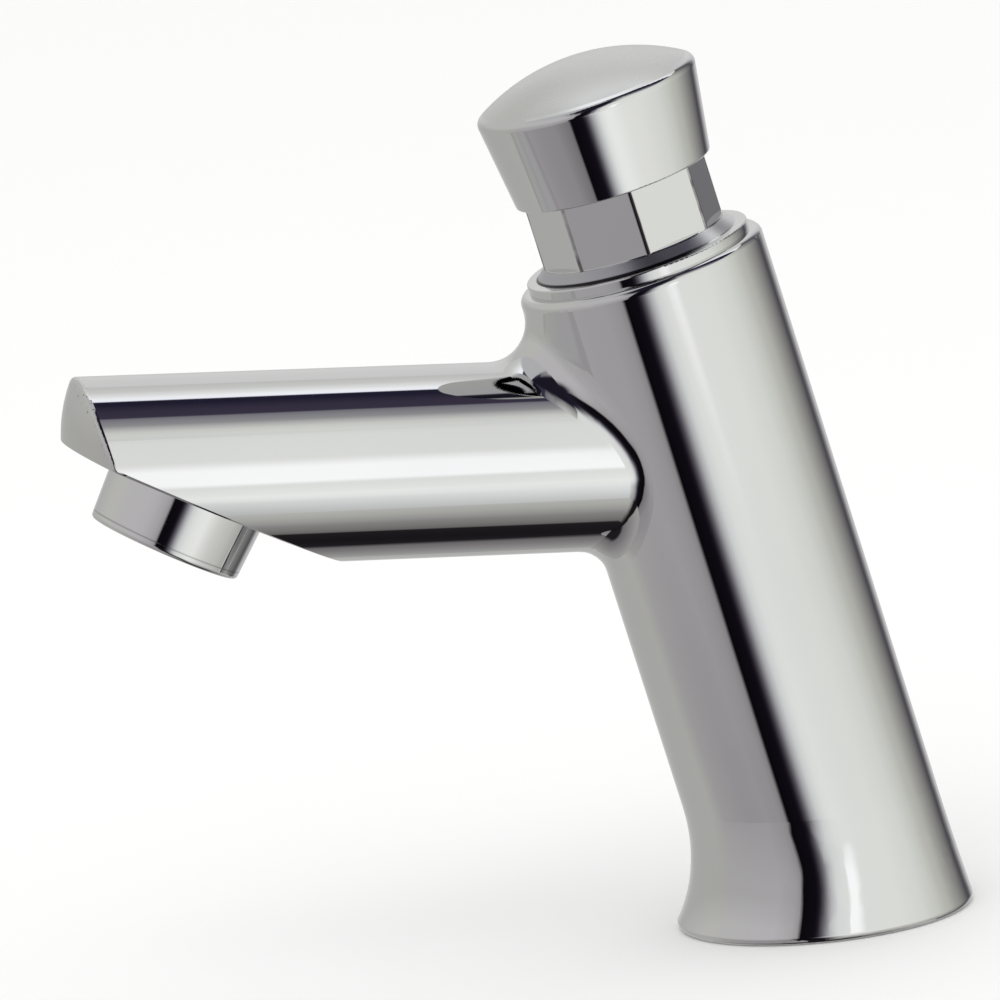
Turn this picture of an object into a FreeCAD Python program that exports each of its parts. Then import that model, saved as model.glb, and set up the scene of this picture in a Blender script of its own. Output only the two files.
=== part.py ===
import FreeCAD, Part
import math
import os
import re
import Sketcher
from FreeCAD import Vector

# Push-button basin tap, self-closing.
# Millimetres, +Z up. The origin is where the column's axis meets the base plane.
# The spout points towards -X, and the tap is the same on both sides of the XZ plane.

os.makedirs("parts", exist_ok=True)
doc = FreeCAD.newDocument("basin_tap")

sizes = (
    ("body_lean", 12.17, "column's lean towards the spout, degrees"),
    ("body_radius", 21.0, "column's outer radius"),
    ("rim_height", 117.6, "column's rim, along its axis"),
    ("rim_edge", 1.5, "rounding of the rim"),
    ("flare_height", 20.8, "height where the foot starts to flare"),
    ("flare_radius", 31.0, "radius of the foot's hollow flare"),
    ("flare_side", 0.22, "share of the front flare that the sides get"),
    ("flare_back", 0.06, "share of the front flare that the back gets"),
    ("foot_band", 1.2, "height of the foot's upright edge"),
    ("foot_edge", 1.0, "rounding under the foot"),
    ("boss_radius", 12.5, "inlet boss under the foot"),
    ("pocket_depth", 8.0, "hollow under the foot"),
    ("pocket_wall", 5.2, "foot's wall round the hollow"),
    ("gasket_ledge", 2.0, "ledge that carries the base gasket"),
    ("gasket_height", 2.0, "base gasket's thickness"),
    ("gasket_gap", 0.3, "room round the base gasket"),
    ("snug_gap", 0.05, "room at seals and clips"),
    ("loose_gap", 0.1, "room round flat gaskets and washers"),
    ("small_bevel", 0.5, "bevel on turned inner pieces"),
    ("spare", 1.0, "overlength of the cutting tools"),
    ("inlet_radius", 9.32, "inlet thread's inner radius, half inch pipe"),
    ("inlet_length", 12.0, "length of the inlet thread"),
    ("strainer_rim_radius", 8.6, "seat of the inlet strainer"),
    ("strainer_rim", 1.5, "height of that seat"),
    ("passage_radius", 7.8, "inlet passage above the strainer"),
    ("strainer_wall", 0.6, "sheet of the inlet strainer"),
    ("strainer_height", 7.5, "inlet strainer's height"),
    ("strainer_hole", 0.8, "radius of the strainer's holes"),
    ("strainer_pitch", 2.6, "pitch of the strainer's rings of holes"),
    ("valve_bore", 11.0, "bore round the valve"),
    ("valve_bore_floor", 27.0, "floor of that bore, along the axis"),
    ("seat_level", 46.0, "shoulder under the seat ring"),
    ("seat_height", 4.0, "seat ring's height"),
    ("seat_hole", 6.3, "seat ring's hole"),
    ("seat_groove_height", 1.6, "height of the groove round the seat ring"),
    ("seat_groove_depth", 1.3, "depth of that groove"),
    ("seat_seal_section", 0.72, "seat ring seal's cord radius"),
    ("seat_seal_gap", 0.03, "room round that seal"),
    ("column_wall", 7.6, "column's wall round the cartridge chamber"),
    ("chamber_radius", "=body_radius - column_wall", "chamber round the cartridge"),
    ("cartridge_gap", 0.2, "room between cartridge and chamber"),
    ("neck_depth", 13.6, "rim to the ledge that the bonnet gasket lies on"),
    ("ledge_level", "=rim_height - neck_depth", "that ledge, along the axis"),
    ("ledge_width", 1.6, "width of that ledge"),
    ("gasket_thickness", 1.5, "bonnet gasket's thickness"),
    ("thread_radius", "=chamber_radius + ledge_width", "bonnet thread in the column"),
    ("thread_gap", 0.15, "room in that thread"),
    ("neck_bevel", 0.8, "bevel under the bonnet's neck"),
    ("rim_step", 1.9, "column's rim left bare round the flange"),
    ("flange_radius", "=body_radius - rim_step", "bonnet's visible flange"),
    ("flange_height", 1.7, "that flange's thickness"),
    ("octagon_radius", 15.64, "bonnet's octagon, over the corners"),
    ("octagon_height", 16.3, "octagon's height above the flange"),
    ("octagon_turn", 41.1, "octagon's turn, degrees"),
    ("octagon_edge", 0.35, "rounding of the octagon's edges"),
    ("flange_edge", 0.3, "rounding of the flange's edge"),
    ("cone_radius", "=flange_radius - 1.8", "cone at the octagon's foot, where it starts on the flange"),
    ("cone_height", 1.9, "that cone's height, at 45 degrees"),
    ("bonnet_well", 11.0, "well in the octagon's top"),
    ("well_floor", 2.2, "floor of the well, above the flange's top"),
    ("bush_radius", 5.95, "stem bush, outer radius"),
    ("bush_gap", 0.05, "room round the bush"),
    ("bush_height", 7.5, "stem bush's height"),
    ("web_height", 3.5, "web between bush and well"),
    ("stem_radius", 3.0, "stem's radius"),
    ("running_gap", 0.05, "running clearance on the stem"),
    ("stem_hole_gap", 1.0, "room where the stem passes a wall"),
    ("seal_section", 1.42, "stem seal's cord radius"),
    ("washer_height", 1.0, "gland washer's thickness"),
    ("circlip_height", 0.7, "circlip's thickness"),
    ("circlip_width", 1.3, "circlip's width"),
    ("circlip_groove", 0.7, "depth of the circlip's groove"),
    ("circlip_opening", 2.4, "opening between the circlip's ends"),
    ("gland_washer_gap", 0.5, "room between gland washer and stem"),
    ("sleeve_room", 2.9, "waterway round the cartridge sleeve"),
    ("sleeve_outer", "=chamber_radius - sleeve_room", "cartridge sleeve, outer radius"),
    ("sleeve_wall", 1.5, "cartridge sleeve's wall"),
    ("sleeve_inner", "=sleeve_outer - sleeve_wall", "cartridge sleeve, bore"),
    ("sleeve_ledge", 12.0, "spring ledge above the seat ring"),
    ("sleeve_ledge_height", 2.0, "thickness of the spring ledge"),
    ("port_level", 6.0, "outlet ports above the seat ring"),
    ("port_radius", 2.6, "radius of an outlet port"),
    ("spring_length", 17.0, "return spring's fitted length"),
    ("spring_radius", 6.6, "return spring's mean radius"),
    ("wire_radius", 0.7, "return spring's wire"),
    ("spring_turns", 5.0, "turns of the return spring"),
    ("spring_gap", 0.05, "room at the spring's ends"),
    ("piston_gap", 0.4, "room round the timing piston"),
    ("piston_radius", "=sleeve_inner - piston_gap", "timing piston's radius"),
    ("piston_height", 7.0, "timing piston's height"),
    ("piston_seal_gap", 0.12, "room round the piston's lip seal"),
    ("piston_seal_radius", "=sleeve_inner - piston_seal_gap", "piston's lip seal, over the lip"),
    ("piston_seal_level", 2.0, "piston's bottom to the seal's groove"),
    ("piston_groove", 1.8, "depth of the seal's groove"),
    ("piston_seal_height", 3.0, "height of the lip seal"),
    ("seal_lip", 0.6, "thickness of the seal's lips"),
    ("seal_web", 1.4, "thickness of the seal below its lips"),
    ("clip_height", 0.8, "piston clip's thickness"),
    ("clip_radius", 4.6, "piston clip's radius"),
    ("clip_groove", 0.5, "depth of the clip's groove in the stem"),
    ("clip_grip", 0.6, "clip's opening, narrower than the stem each side"),
    ("collar_radius", 4.6, "stem's collar over the piston"),
    ("collar_height", 1.6, "height of that collar"),
    ("foot_collar_radius", 4.2, "stem's collar over the valve"),
    ("foot_collar_height", 2.4, "height of that collar"),
    ("tail_radius", 2.5, "stem's threaded tail"),
    ("tail_end", 0.8, "stem's tail below the valve nut"),
    ("valve_gap", 0.1, "valve washer to seat, button up"),
    ("valve_washer_radius", 9.0, "valve washer's radius"),
    ("valve_washer_height", 2.5, "valve washer's thickness"),
    ("valve_cup_height", 3.4, "valve cup under the washer"),
    ("valve_cup_wall", 0.6, "valve cup's rim"),
    ("valve_cup_bevel", 1.5, "bevel under the valve cup"),
    ("valve_nut_height", 3.0, "valve nut's height"),
    ("valve_nut_radius", 4.6, "valve nut, over the corners"),
    ("button_low_radius", 16.83, "button's radius at its lower rim"),
    ("button_top_radius", 18.95, "button's radius under its crown"),
    ("button_skirt", 12.9, "flange's top to the button's lower rim"),
    ("button_height", 15.6, "button's conical side"),
    ("crown_height", 5.6, "height of the crown"),
    ("crown_edge", 1.4, "rounding of the crown's edge"),
    ("button_edge", 0.35, "rounding of the lower rim"),
    ("button_gap", 0.35, "room between button and octagon"),
    ("button_low_level", "=rim_height + flange_height + button_skirt", "button's lower rim, along the axis"),
    ("button_top_level", "=button_low_level + button_height", "crown's edge, along the axis"),
    ("button_ceiling", 3.2, "ceiling below the crown's edge"),
    ("button_boss", 6.5, "boss that the stem screws into"),
    ("button_boss_length", 11.1, "boss below the ceiling"),
    ("stem_in_boss", 7.5, "stem's thread in the boss"),
    ("stem_end_gap", 0.5, "room above the stem's end"),
    ("locknut_radius", 5.8, "button's locknut, over the corners"),
    ("locknut_height", 3.0, "button's locknut's height"),
    ("spout_drop", 34.2, "rim to the spout's axis, along the column's axis"),
    ("spout_level", "=rim_height - spout_drop", "spout's axis, along the column's axis"),
    ("spout_rise", 5.66, "spout's rise, degrees"),
    ("spout_radius", 16.07, "spout's radius"),
    ("spout_reach", 107.9, "column's axis to the tip of the spout's nose"),
    ("nose_radius", 25.6, "ball that rounds the nose"),
    ("nose_lift", 5.9, "that ball's middle above the spout's axis"),
    ("nose_edge", 0.9, "rounding of the nose's edge"),
    ("slant_edge", 0.4, "rounding round the slanted outlet face"),
    ("root_angle", "=90 - body_lean - spout_rise", "column's axis to the spout's axis, degrees"),
    ("root_corner", "=spout_radius / sin(root_angle) + body_radius / tan(root_angle)",
     "spout's axis to the corner above it, along the column's front"),
    ("root_margin", 0.2, "plain column between the root's hollow and the rim's rounding"),
    ("root_radius", "=(spout_drop - root_corner - rim_edge - root_margin) * tan(root_angle / 2)",
     "hollow round the spout's root"),
    ("outlet_reach", 85.4, "column's axis to the outlet's axis"),
    ("outlet_tilt", 30.16, "outlet's tilt, degrees"),
    ("outlet_face", 4.6, "spout's axis to the outlet's face"),
    ("waterway_radius", 8.5, "waterway in the spout"),
    ("outlet_bore", 12.05, "aerator thread in the spout"),
    ("outlet_depth", 6.0, "depth of that thread"),
    ("outlet_throat", 9.5, "throat behind the thread"),
    ("throat_length", 3.0, "length of that throat"),
    ("housing_top_radius", 13.55, "aerator housing at the spout"),
    ("housing_low_radius", 13.05, "aerator housing at its rim"),
    ("housing_height", 9.5, "aerator housing below the spout"),
    ("housing_edge", 0.7, "bevel of the housing's rim"),
    ("housing_neck", 11.9, "aerator housing's threaded neck"),
    ("housing_neck_length", 4.8, "length of that neck"),
    ("housing_bore", 10.6, "aerator housing's bore"),
    ("housing_lip", 9.6, "opening in the housing's rim"),
    ("housing_lip_height", 2.6, "thickness of that rim"),
    ("insert_gap", 0.15, "room round the aerator's insert"),
    ("washer_inner", 9.0, "aerator washer's hole"),
    ("former_height", 1.5, "flow former's plate"),
    ("former_hole", 0.9, "radius of the former's holes"),
    ("former_circle", 7.0, "radius of the circle of holes"),
    ("former_drop", 5.5, "former's skirt below its plate"),
    ("former_wall", 0.8, "former's wall"),
    ("former_cone_radius", 2.2, "cone on the former's plate, at its foot"),
    ("former_cone_height", 2.0, "height of that cone"),
    ("screen_height", 0.5, "aerator screen's thickness"),
    ("grid_height", 2.2, "flow straightener's thickness"),
    ("cell_radius", 1.15, "straightener's cell, over the corners"),
    ("cell_pitch", 2.5, "straightener's cell pitch"),
)

sheet = doc.addObject("Spreadsheet::Sheet", "Sizes")
for row, (alias, value, meaning) in enumerate(sizes, 1):
    sheet.set("A%d" % row, meaning)
    sheet.set("B%d" % row, str(value))
    sheet.setAlias("B%d" % row, alias)
doc.recompute()

former_hole_count = 12
strainer_hole_counts = (1, 6, 12)
port_count = 4
flare_steps = 5
near = 0.001

pieces = []


def size(alias):
    return float(sheet.get(alias))


def bound(text):
    # Names of sizes become cells of the sheet; functions keep their brackets.
    return re.sub(r"\b[a-z_]{3,}\b(?!\()", r"Sizes.\g<0>", text)


def piece(item, label):
    # The finished piece, with the name that its file takes.
    item.Label = label
    pieces.append(item)
    return item


# Places: on the column's axis, on the spout's axis and on the outlet's axis.
rim = "rim_height"
flange_top = "(rim_height + flange_height)"
bonnet_bottom = "(ledge_level + gasket_thickness)"
seat_top = "(seat_level + seat_height)"
spring_floor = "(%s + sleeve_ledge)" % seat_top
piston_bottom = "(%s + spring_length)" % spring_floor
piston_top = "(%s + piston_height)" % piston_bottom
washer_top = "(seat_level - valve_gap)"
washer_bottom = "(%s - valve_washer_height)" % washer_top
cup_bottom = "(%s - valve_cup_height)" % washer_bottom
nut_bottom = "(%s - valve_nut_height)" % cup_bottom
well_bottom = "(%s + well_floor)" % flange_top
bush_top = "(%s - web_height)" % well_bottom
bush_bottom = "(%s - bush_height)" % bush_top
seal_bottom = "(%s - 2 * seal_section)" % bush_bottom
washer_low = "(%s - washer_height)" % seal_bottom
ceiling = "(button_top_level - button_ceiling)"
boss_bottom = "(%s - button_boss_length)" % ceiling
locknut_bottom = "(%s - locknut_height)" % boss_bottom
neck_top = "(outlet_face - housing_neck_length)"
rim_bottom = "(outlet_face + housing_height)"
insert_floor = "(%s - housing_lip_height)" % rim_bottom

spout_x = "(-(spout_level) * sin(body_lean) - (%s) * cos(spout_rise))"
spout_z = "((spout_level) * cos(body_lean) + (%s) * sin(spout_rise))"


def on_column(height="0", x="0", y="0", turn="0"):
    frame = "placement(vector(-(%s) * sin(body_lean); 0; (%s) * cos(body_lean)); " % (height, height)
    frame += "rotation(vector(0; -1; 0); body_lean))"
    local = "placement(vector(%s; %s; 0); rotation(vector(0; 0; 1); %s))" % (x, y, turn)
    return frame + " * " + local


def on_spout(distance="0", turn="0"):
    frame = "placement(vector(%s; 0; %s); " % (spout_x % distance, spout_z % distance)
    frame += "rotation(vector(0; -1; 0); 90 - spout_rise))"
    return frame + " * placement(vector(0; 0; 0); rotation(vector(0; 0; 1); %s))" % turn


def on_outlet(depth="0", x="0", y="0", turn="0"):
    frame = "placement(vector(%s - (%s) * sin(outlet_tilt); 0; " % (spout_x % "outlet_reach", depth)
    frame += "%s - (%s) * cos(outlet_tilt)); " % (spout_z % "outlet_reach", depth)
    frame += "rotation(vector(0; -1; 0); 180 - outlet_tilt))"
    local = "placement(vector(%s; %s; 0); rotation(vector(0; 0; 1); %s))" % (x, y, turn)
    return frame + " * " + local


def upright(x="0", y="0", height="0"):
    return "placement(vector(%s; %s; %s); rotation(vector(0; 0; 1); 0))" % (x, y, height)


def place(item, where):
    item.setExpression("Placement", bound(where))
    return item


def outline_sketch(body, name, outline):
    # A closed outline in the body's own XZ plane. Each corner is (radius, height) in named sizes.
    sketch = body.newObject("Sketcher::SketchObject", name)
    plane = [item for item in body.Origin.OriginFeatures if item.Role == "XZ_Plane"][0]
    sketch.AttachmentSupport = [(plane, "")]
    sketch.MapMode = "FlatFace"
    # The corners start on a loose ring, and their distances then draw them to their places.
    count = len(outline)
    middle = Vector(20, 20, 0)
    start = []
    for corner in range(count):
        angle = 2 * math.pi * corner / count
        start.append(middle + Vector(math.cos(angle), math.sin(angle), 0) * 9)
    for corner in range(count):
        sketch.addGeometry(Part.LineSegment(start[corner], start[(corner + 1) % count]), False)
    for corner in range(count):
        sketch.addConstraint(Sketcher.Constraint("Coincident", corner, 2, (corner + 1) % count, 1))
    for corner, (radius, height) in enumerate(outline):
        across = sketch.addConstraint(Sketcher.Constraint("DistanceX", -1, 1, corner, 1, start[corner].x))
        sketch.setExpression("Constraints[%d]" % across, bound(radius))
        along = sketch.addConstraint(Sketcher.Constraint("DistanceY", -1, 1, corner, 1, start[corner].y))
        sketch.setExpression("Constraints[%d]" % along, bound(height))
    return sketch


def turned(name, outline, where):
    # A piece of revolution about its own Z axis.
    body = doc.addObject("PartDesign::Body", name)
    sketch = outline_sketch(body, name + "_outline", outline)
    turn = body.newObject("PartDesign::Revolution", name + "_turn")
    turn.Profile = sketch
    turn.ReferenceAxis = (sketch, ["V_Axis"])
    turn.Angle = 360
    place(body, where)
    return body


def circle_of(edge):
    # The edge's circle, or None where it is another curve or only a point.
    if edge.Degenerated or edge.Curve.TypeId != "Part::GeomCircle":
        return None
    return edge.Curve


def rims(body, corners):
    # The circles that the given corners of the outline turn into.
    doc.recompute()
    sketch = [item for item in body.Group if item.TypeId == "Sketcher::SketchObject"][0]
    names = []
    for corner in corners:
        point = sketch.Geometry[corner].StartPoint
        for number, edge in enumerate(body.Tip.Shape.Edges, 1):
            circle = circle_of(edge)
            if circle is None:
                continue
            if abs(circle.Radius - point.x) < near and abs(circle.Center.z - point.y) < near:
                names.append("Edge%d" % number)
    return names


def rounded(body, corners, radius):
    names = rims(body, corners)
    base = body.Tip
    fillet = body.newObject("PartDesign::Fillet", body.Name + "_rounding")
    fillet.Base = (base, names)
    fillet.setExpression("Radius", bound(radius))
    return body


def bevelled(body, corners, width):
    names = rims(body, corners)
    base = body.Tip
    chamfer = body.newObject("PartDesign::Chamfer", body.Name + "_bevel")
    chamfer.Base = (base, names)
    chamfer.setExpression("Size", bound(width))
    return body


def cylinder(name, radius, length, where):
    item = doc.addObject("Part::Cylinder", name)
    item.setExpression("Radius", bound(radius))
    item.setExpression("Height", bound(length))
    return place(item, where)


def prism(name, sides, radius, length, where):
    item = doc.addObject("Part::Prism", name)
    item.Polygon = sides
    item.setExpression("Circumradius", bound(radius))
    item.setExpression("Height", bound(length))
    return place(item, where)


def torus(name, ring, section, where):
    item = doc.addObject("Part::Torus", name)
    item.setExpression("Radius1", bound(ring))
    item.setExpression("Radius2", bound(section))
    return place(item, where)


def column_axis():
    lean = math.radians(size("body_lean"))
    return Vector(-math.sin(lean), 0, math.cos(lean))


def spout_axis():
    rise = math.radians(size("spout_rise"))
    return Vector(-math.cos(rise), 0, math.sin(rise))


def three_points(edge):
    span = edge.LastParameter - edge.FirstParameter
    return [edge.valueAt(edge.FirstParameter + share * span) for share in (0.1, 0.4, 0.7)]


def picked(shape, test):
    # Numbers of the edges on which three points pass the test.
    return [number for number, edge in enumerate(shape.Edges, 1)
            if not edge.Degenerated and all(test(point) for point in three_points(edge))]


def off_axis(point, axis):
    return (point - axis * point.dot(axis)).Length


def ring(shape, radius, level):
    # The edges round the column's axis with this radius, at this level along it.
    axis = column_axis()
    return picked(shape, lambda point: abs(off_axis(point, axis) - radius) < near
                  and abs(point.dot(axis) - level) < near)


def filleted(name, base, edges):
    item = doc.addObject("Part::Fillet", name)
    item.Base = base
    item.Edges = [(number, size(radius), size(radius)) for radius in edges for number in edges[radius]]
    doc.recompute()
    return item


def joined(name, items):
    item = doc.addObject("Part::MultiFuse", name)
    item.Shapes = items
    return item


def cut(name, base, tool):
    item = doc.addObject("Part::Cut", name)
    item.Base = base
    item.Tool = tool
    return item


def common(name, first, second):
    item = doc.addObject("Part::Common", name)
    item.Base = first
    item.Tool = second
    return item


def foot_ellipse(name, height, spread, level):
    # The column's level section at a height, with the front drawn out by the flare, laid at a level.
    return foot_print(name, height, spread, level, "0")


def foot_print(name, height, spread, level, inset):
    item = doc.addObject("Part::Ellipse", name)
    front = "body_radius / cos(body_lean) + (%s) * (1 + flare_back) / 2 - (%s)" % (spread, inset)
    side = "body_radius + (%s) * flare_side - (%s)" % (spread, inset)
    middle = "-(%s) * tan(body_lean) - (%s) * (1 - flare_back) / 2" % (height, spread)
    item.setExpression("MajorRadius", bound(front))
    item.setExpression("MinorRadius", bound(side))
    return place(item, upright(middle, "0", level))


def flare_at(height):
    # How far the hollow flare stands out in front of the column at a height.
    return "(flare_radius - sqrt(flare_radius^2 - (flare_height - (%s))^2))" % height


def extruded(name, base, length):
    item = doc.addObject("Part::Extrusion", name)
    item.Base = base
    item.DirMode = "Custom"
    item.Dir = Vector(0, 0, 1)
    item.Solid = True
    item.setExpression("LengthFwd", bound(length))
    return item


# Cast body: flared foot, leaning column, spout with a rounded nose and a slanted outlet face.
def foot_outline():
    sections = []
    for step in range(flare_steps + 1):
        height = "(foot_band + (flare_height - foot_band) * %d / %d)" % (step, flare_steps)
        sections.append(foot_ellipse("foot_section_%d" % step, height, flare_at(height), height))
    loft = doc.addObject("Part::Loft", "foot_flare")
    loft.Sections = sections
    loft.Solid = True
    loft.Ruled = False
    lowest = foot_ellipse("foot_lowest", "foot_band", flare_at("foot_band"), "0")
    return [loft, extruded("foot_upright", lowest, "foot_band")]


def column_above_foot():
    whole = cylinder("column_whole", "body_radius", rim, on_column())
    below = doc.addObject("Part::Box", "column_below_flare")
    below.setExpression("Length", bound("6 * body_radius"))
    below.setExpression("Width", bound("6 * body_radius"))
    below.setExpression("Height", bound("flare_height + body_radius"))
    place(below, upright("-3 * body_radius", "-3 * body_radius", "-body_radius"))
    return cut("column", whole, below)


def spout_outline():
    rod = cylinder("spout_rod", "spout_radius", "spout_reach", on_spout())
    plain = cylinder("spout_behind_nose", "spout_radius + spare", "spout_reach - nose_radius", on_spout())
    ball = doc.addObject("Part::Sphere", "nose_ball")
    ball.setExpression("Radius", bound("nose_radius"))
    place(ball, on_spout("spout_reach - nose_radius")
          + " * placement(vector(nose_lift; 0; 0); rotation(vector(0; 0; 1); 0))")
    nosed = common("spout_with_nose", rod, joined("spout_extent", [plain, ball]))
    slant = doc.addObject("Part::Box", "outlet_slant")
    slant.setExpression("Length", bound("8 * spout_radius"))
    slant.setExpression("Width", bound("4 * spout_radius"))
    slant.setExpression("Height", bound("3 * spout_radius"))
    place(slant, on_outlet("outlet_face", "-4 * spout_radius", "-2 * spout_radius"))
    slanted = cut("spout_slanted", nosed, slant)
    doc.recompute()

    start = column_axis() * size("spout_level")
    tilt = math.radians(size("outlet_tilt"))
    down = Vector(-math.sin(tilt), 0, -math.cos(tilt))
    outlet = start + spout_axis() * size("outlet_reach")
    face = picked(slanted.Shape, lambda point: abs((point - outlet).dot(down) - size("outlet_face")) < near)
    nose = picked(slanted.Shape, lambda point: abs((point - ball.Placement.Base).Length - size("nose_radius")) < near
                  and abs(off_axis(point - start, spout_axis()) - size("spout_radius")) < near)
    return filleted("spout", slanted, {"slant_edge": face, "nose_edge": nose})


def tap_body():
    outer = joined("body_outline", foot_outline() + [column_above_foot(), spout_outline()])
    doc.recompute()

    # The spout meets the column between the foot's flare and the rim.
    axis = column_axis()
    lowest = size("flare_height") + size("body_radius")
    meeting = picked(outer.Shape, lambda point: abs(off_axis(point, axis) - size("body_radius")) < near
                     and lowest < point.dot(axis) < size("rim_height") - near)
    blend = filleted("root_blend", outer, {"root_radius": meeting})
    around = [number for number, item in enumerate(blend.Shape.Edges, 1)
              if item.BoundBox.ZMax < near and item.BoundBox.XLength > size("body_radius")]
    rim_ring = ring(blend.Shape, size("body_radius"), size("rim_height"))
    edge = filleted("outer_rounding", blend, {"rim_edge": rim_ring, "foot_edge": around})

    bore = turned("column_bore", (
        ("0", "valve_bore_floor"),
        ("valve_bore", "valve_bore_floor"),
        ("valve_bore", "seat_level"),
        ("chamber_radius", "seat_level"),
        ("chamber_radius", "ledge_level"),
        ("thread_radius", "ledge_level"),
        ("thread_radius", "rim_height + spare"),
        ("0", "rim_height + spare"),
    ), on_column())
    inlet = turned("inlet_bore", (
        ("0", "-spare"),
        ("inlet_radius", "-spare"),
        ("inlet_radius", "inlet_length"),
        ("strainer_rim_radius", "inlet_length"),
        ("strainer_rim_radius", "inlet_length + strainer_rim"),
        ("passage_radius", "inlet_length + strainer_rim"),
        ("passage_radius", "valve_bore_floor + 3 * spare"),
        ("0", "valve_bore_floor + 3 * spare"),
    ), upright())
    waterway = cylinder("waterway", "waterway_radius", "outlet_reach", on_spout())
    outlet = turned("outlet_bore_tool", (
        ("0", "outlet_face - outlet_depth - throat_length"),
        ("outlet_throat", "outlet_face - outlet_depth - throat_length"),
        ("outlet_throat", "outlet_face - outlet_depth"),
        ("outlet_bore", "outlet_face - outlet_depth"),
        ("outlet_bore", "outlet_face + spare"),
        ("0", "outlet_face + spare"),
    ), on_outlet())
    hollows = joined("body_hollows", [bore, inlet, waterway, outlet, foot_hollow()])
    return piece(cut("tap_body", edge, hollows), "tap_body")


def foot_ring(name, inset, height, hole):
    # A flat ring under the foot: the foot's print drawn in by inset, round the inlet boss.
    disc = foot_print(name + "_outline", "foot_band", flare_at("foot_band"), "0", inset)
    solid = extruded(name + "_disc", disc, height)
    middle = cylinder(name + "_middle", hole, "(%s) + 2 * spare" % height, upright("0", "0", "-spare"))
    return cut(name, solid, middle)


def foot_hollow():
    ledge = foot_ring("gasket_recess", "pocket_wall - gasket_ledge", "gasket_height", "boss_radius")
    pocket = foot_ring("foot_pocket", "pocket_wall", "pocket_depth", "boss_radius")
    return joined("foot_hollow", [ledge, pocket])


def base_gasket():
    inset = "pocket_wall - gasket_ledge + gasket_gap"
    piece(foot_ring("base_gasket", inset, "gasket_height", "boss_radius + gasket_gap"), "base_gasket")


# Perforated cup over the inlet.
def inlet_strainer():
    top = "(inlet_length + strainer_height)"
    outer = "(passage_radius - cartridge_gap)"
    shell = turned("strainer_shell", (
        ("strainer_rim_radius - loose_gap", "inlet_length"),
        ("strainer_rim_radius - loose_gap", "inlet_length + strainer_rim"),
        (outer, "inlet_length + strainer_rim"),
        (outer, top),
        ("0", top),
        ("0", top + " - strainer_wall"),
        (outer + " - strainer_wall", top + " - strainer_wall"),
        (outer + " - strainer_wall", "inlet_length"),
    ), upright())
    holes = []
    for ring, count in enumerate(strainer_hole_counts):
        for turn in range(count):
            angle = 360 * turn / count
            x = "strainer_pitch * %d * cos(%g)" % (ring, angle)
            y = "strainer_pitch * %d * sin(%g)" % (ring, angle)
            holes.append(cylinder("strainer_hole_%d" % len(holes), "strainer_hole", "3 * strainer_wall",
                                  upright(x, y, top + " - 2 * strainer_wall")))
    piece(cut("inlet_strainer", shell, joined("strainer_holes", holes)), "inlet_strainer")


# Valve seat: a brass ring on the column's shoulder, sealed by a ring in its groove.
def seat_ring():
    outer = "(chamber_radius - cartridge_gap)"
    middle = "(seat_level + seat_height / 2)"
    groove_low = "(%s - seat_groove_height / 2)" % middle
    groove_high = "(%s + seat_groove_height / 2)" % middle
    groove = "(%s - seat_groove_depth)" % outer
    body = turned("seat_ring", (
        ("seat_hole", "seat_level"),
        (outer, "seat_level"),
        (outer, groove_low),
        (groove, groove_low),
        (groove, groove_high),
        (outer, groove_high),
        (outer, seat_top),
        ("seat_hole", seat_top),
    ), on_column())
    piece(bevelled(body, (0, 7), "small_bevel"), "seat_ring")
    ring = "(chamber_radius - seat_seal_section - seat_seal_gap)"
    piece(torus("seat_o_ring", ring, "seat_seal_section", on_column(middle)), "seat_o_ring")


# Cartridge sleeve: cylinder of the timing piston, spring ledge and outlet ports.
def cartridge_sleeve():
    wide = "(chamber_radius - cartridge_gap)"
    below_ledge = "(%s - sleeve_ledge_height)" % spring_floor
    body = turned("sleeve_tube", (
        ("sleeve_inner", seat_top),
        ("sleeve_outer", seat_top),
        ("sleeve_outer", "ledge_level"),
        (wide, "ledge_level"),
        (wide, bonnet_bottom),
        ("sleeve_inner", bonnet_bottom),
        ("sleeve_inner", spring_floor),
        ("stem_radius + 2 * stem_hole_gap", spring_floor),
        ("stem_radius + 2 * stem_hole_gap", below_ledge),
        ("sleeve_inner", below_ledge),
    ), on_column())
    ports = []
    for port in range(port_count):
        item = cylinder("port_%d" % port, "port_radius", "2 * sleeve_outer", "0")
        sideways = " * placement(vector(0; 0; 0); rotation(vector(0; 1; 0); 90))"
        place(item, on_column(seat_top + " + port_level", "0", "0", "45 + %d" % (port * 360 / port_count))
              + sideways)
        ports.append(item)
    piece(cut("cartridge_sleeve", body, joined("ports", ports)), "cartridge_sleeve")


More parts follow.
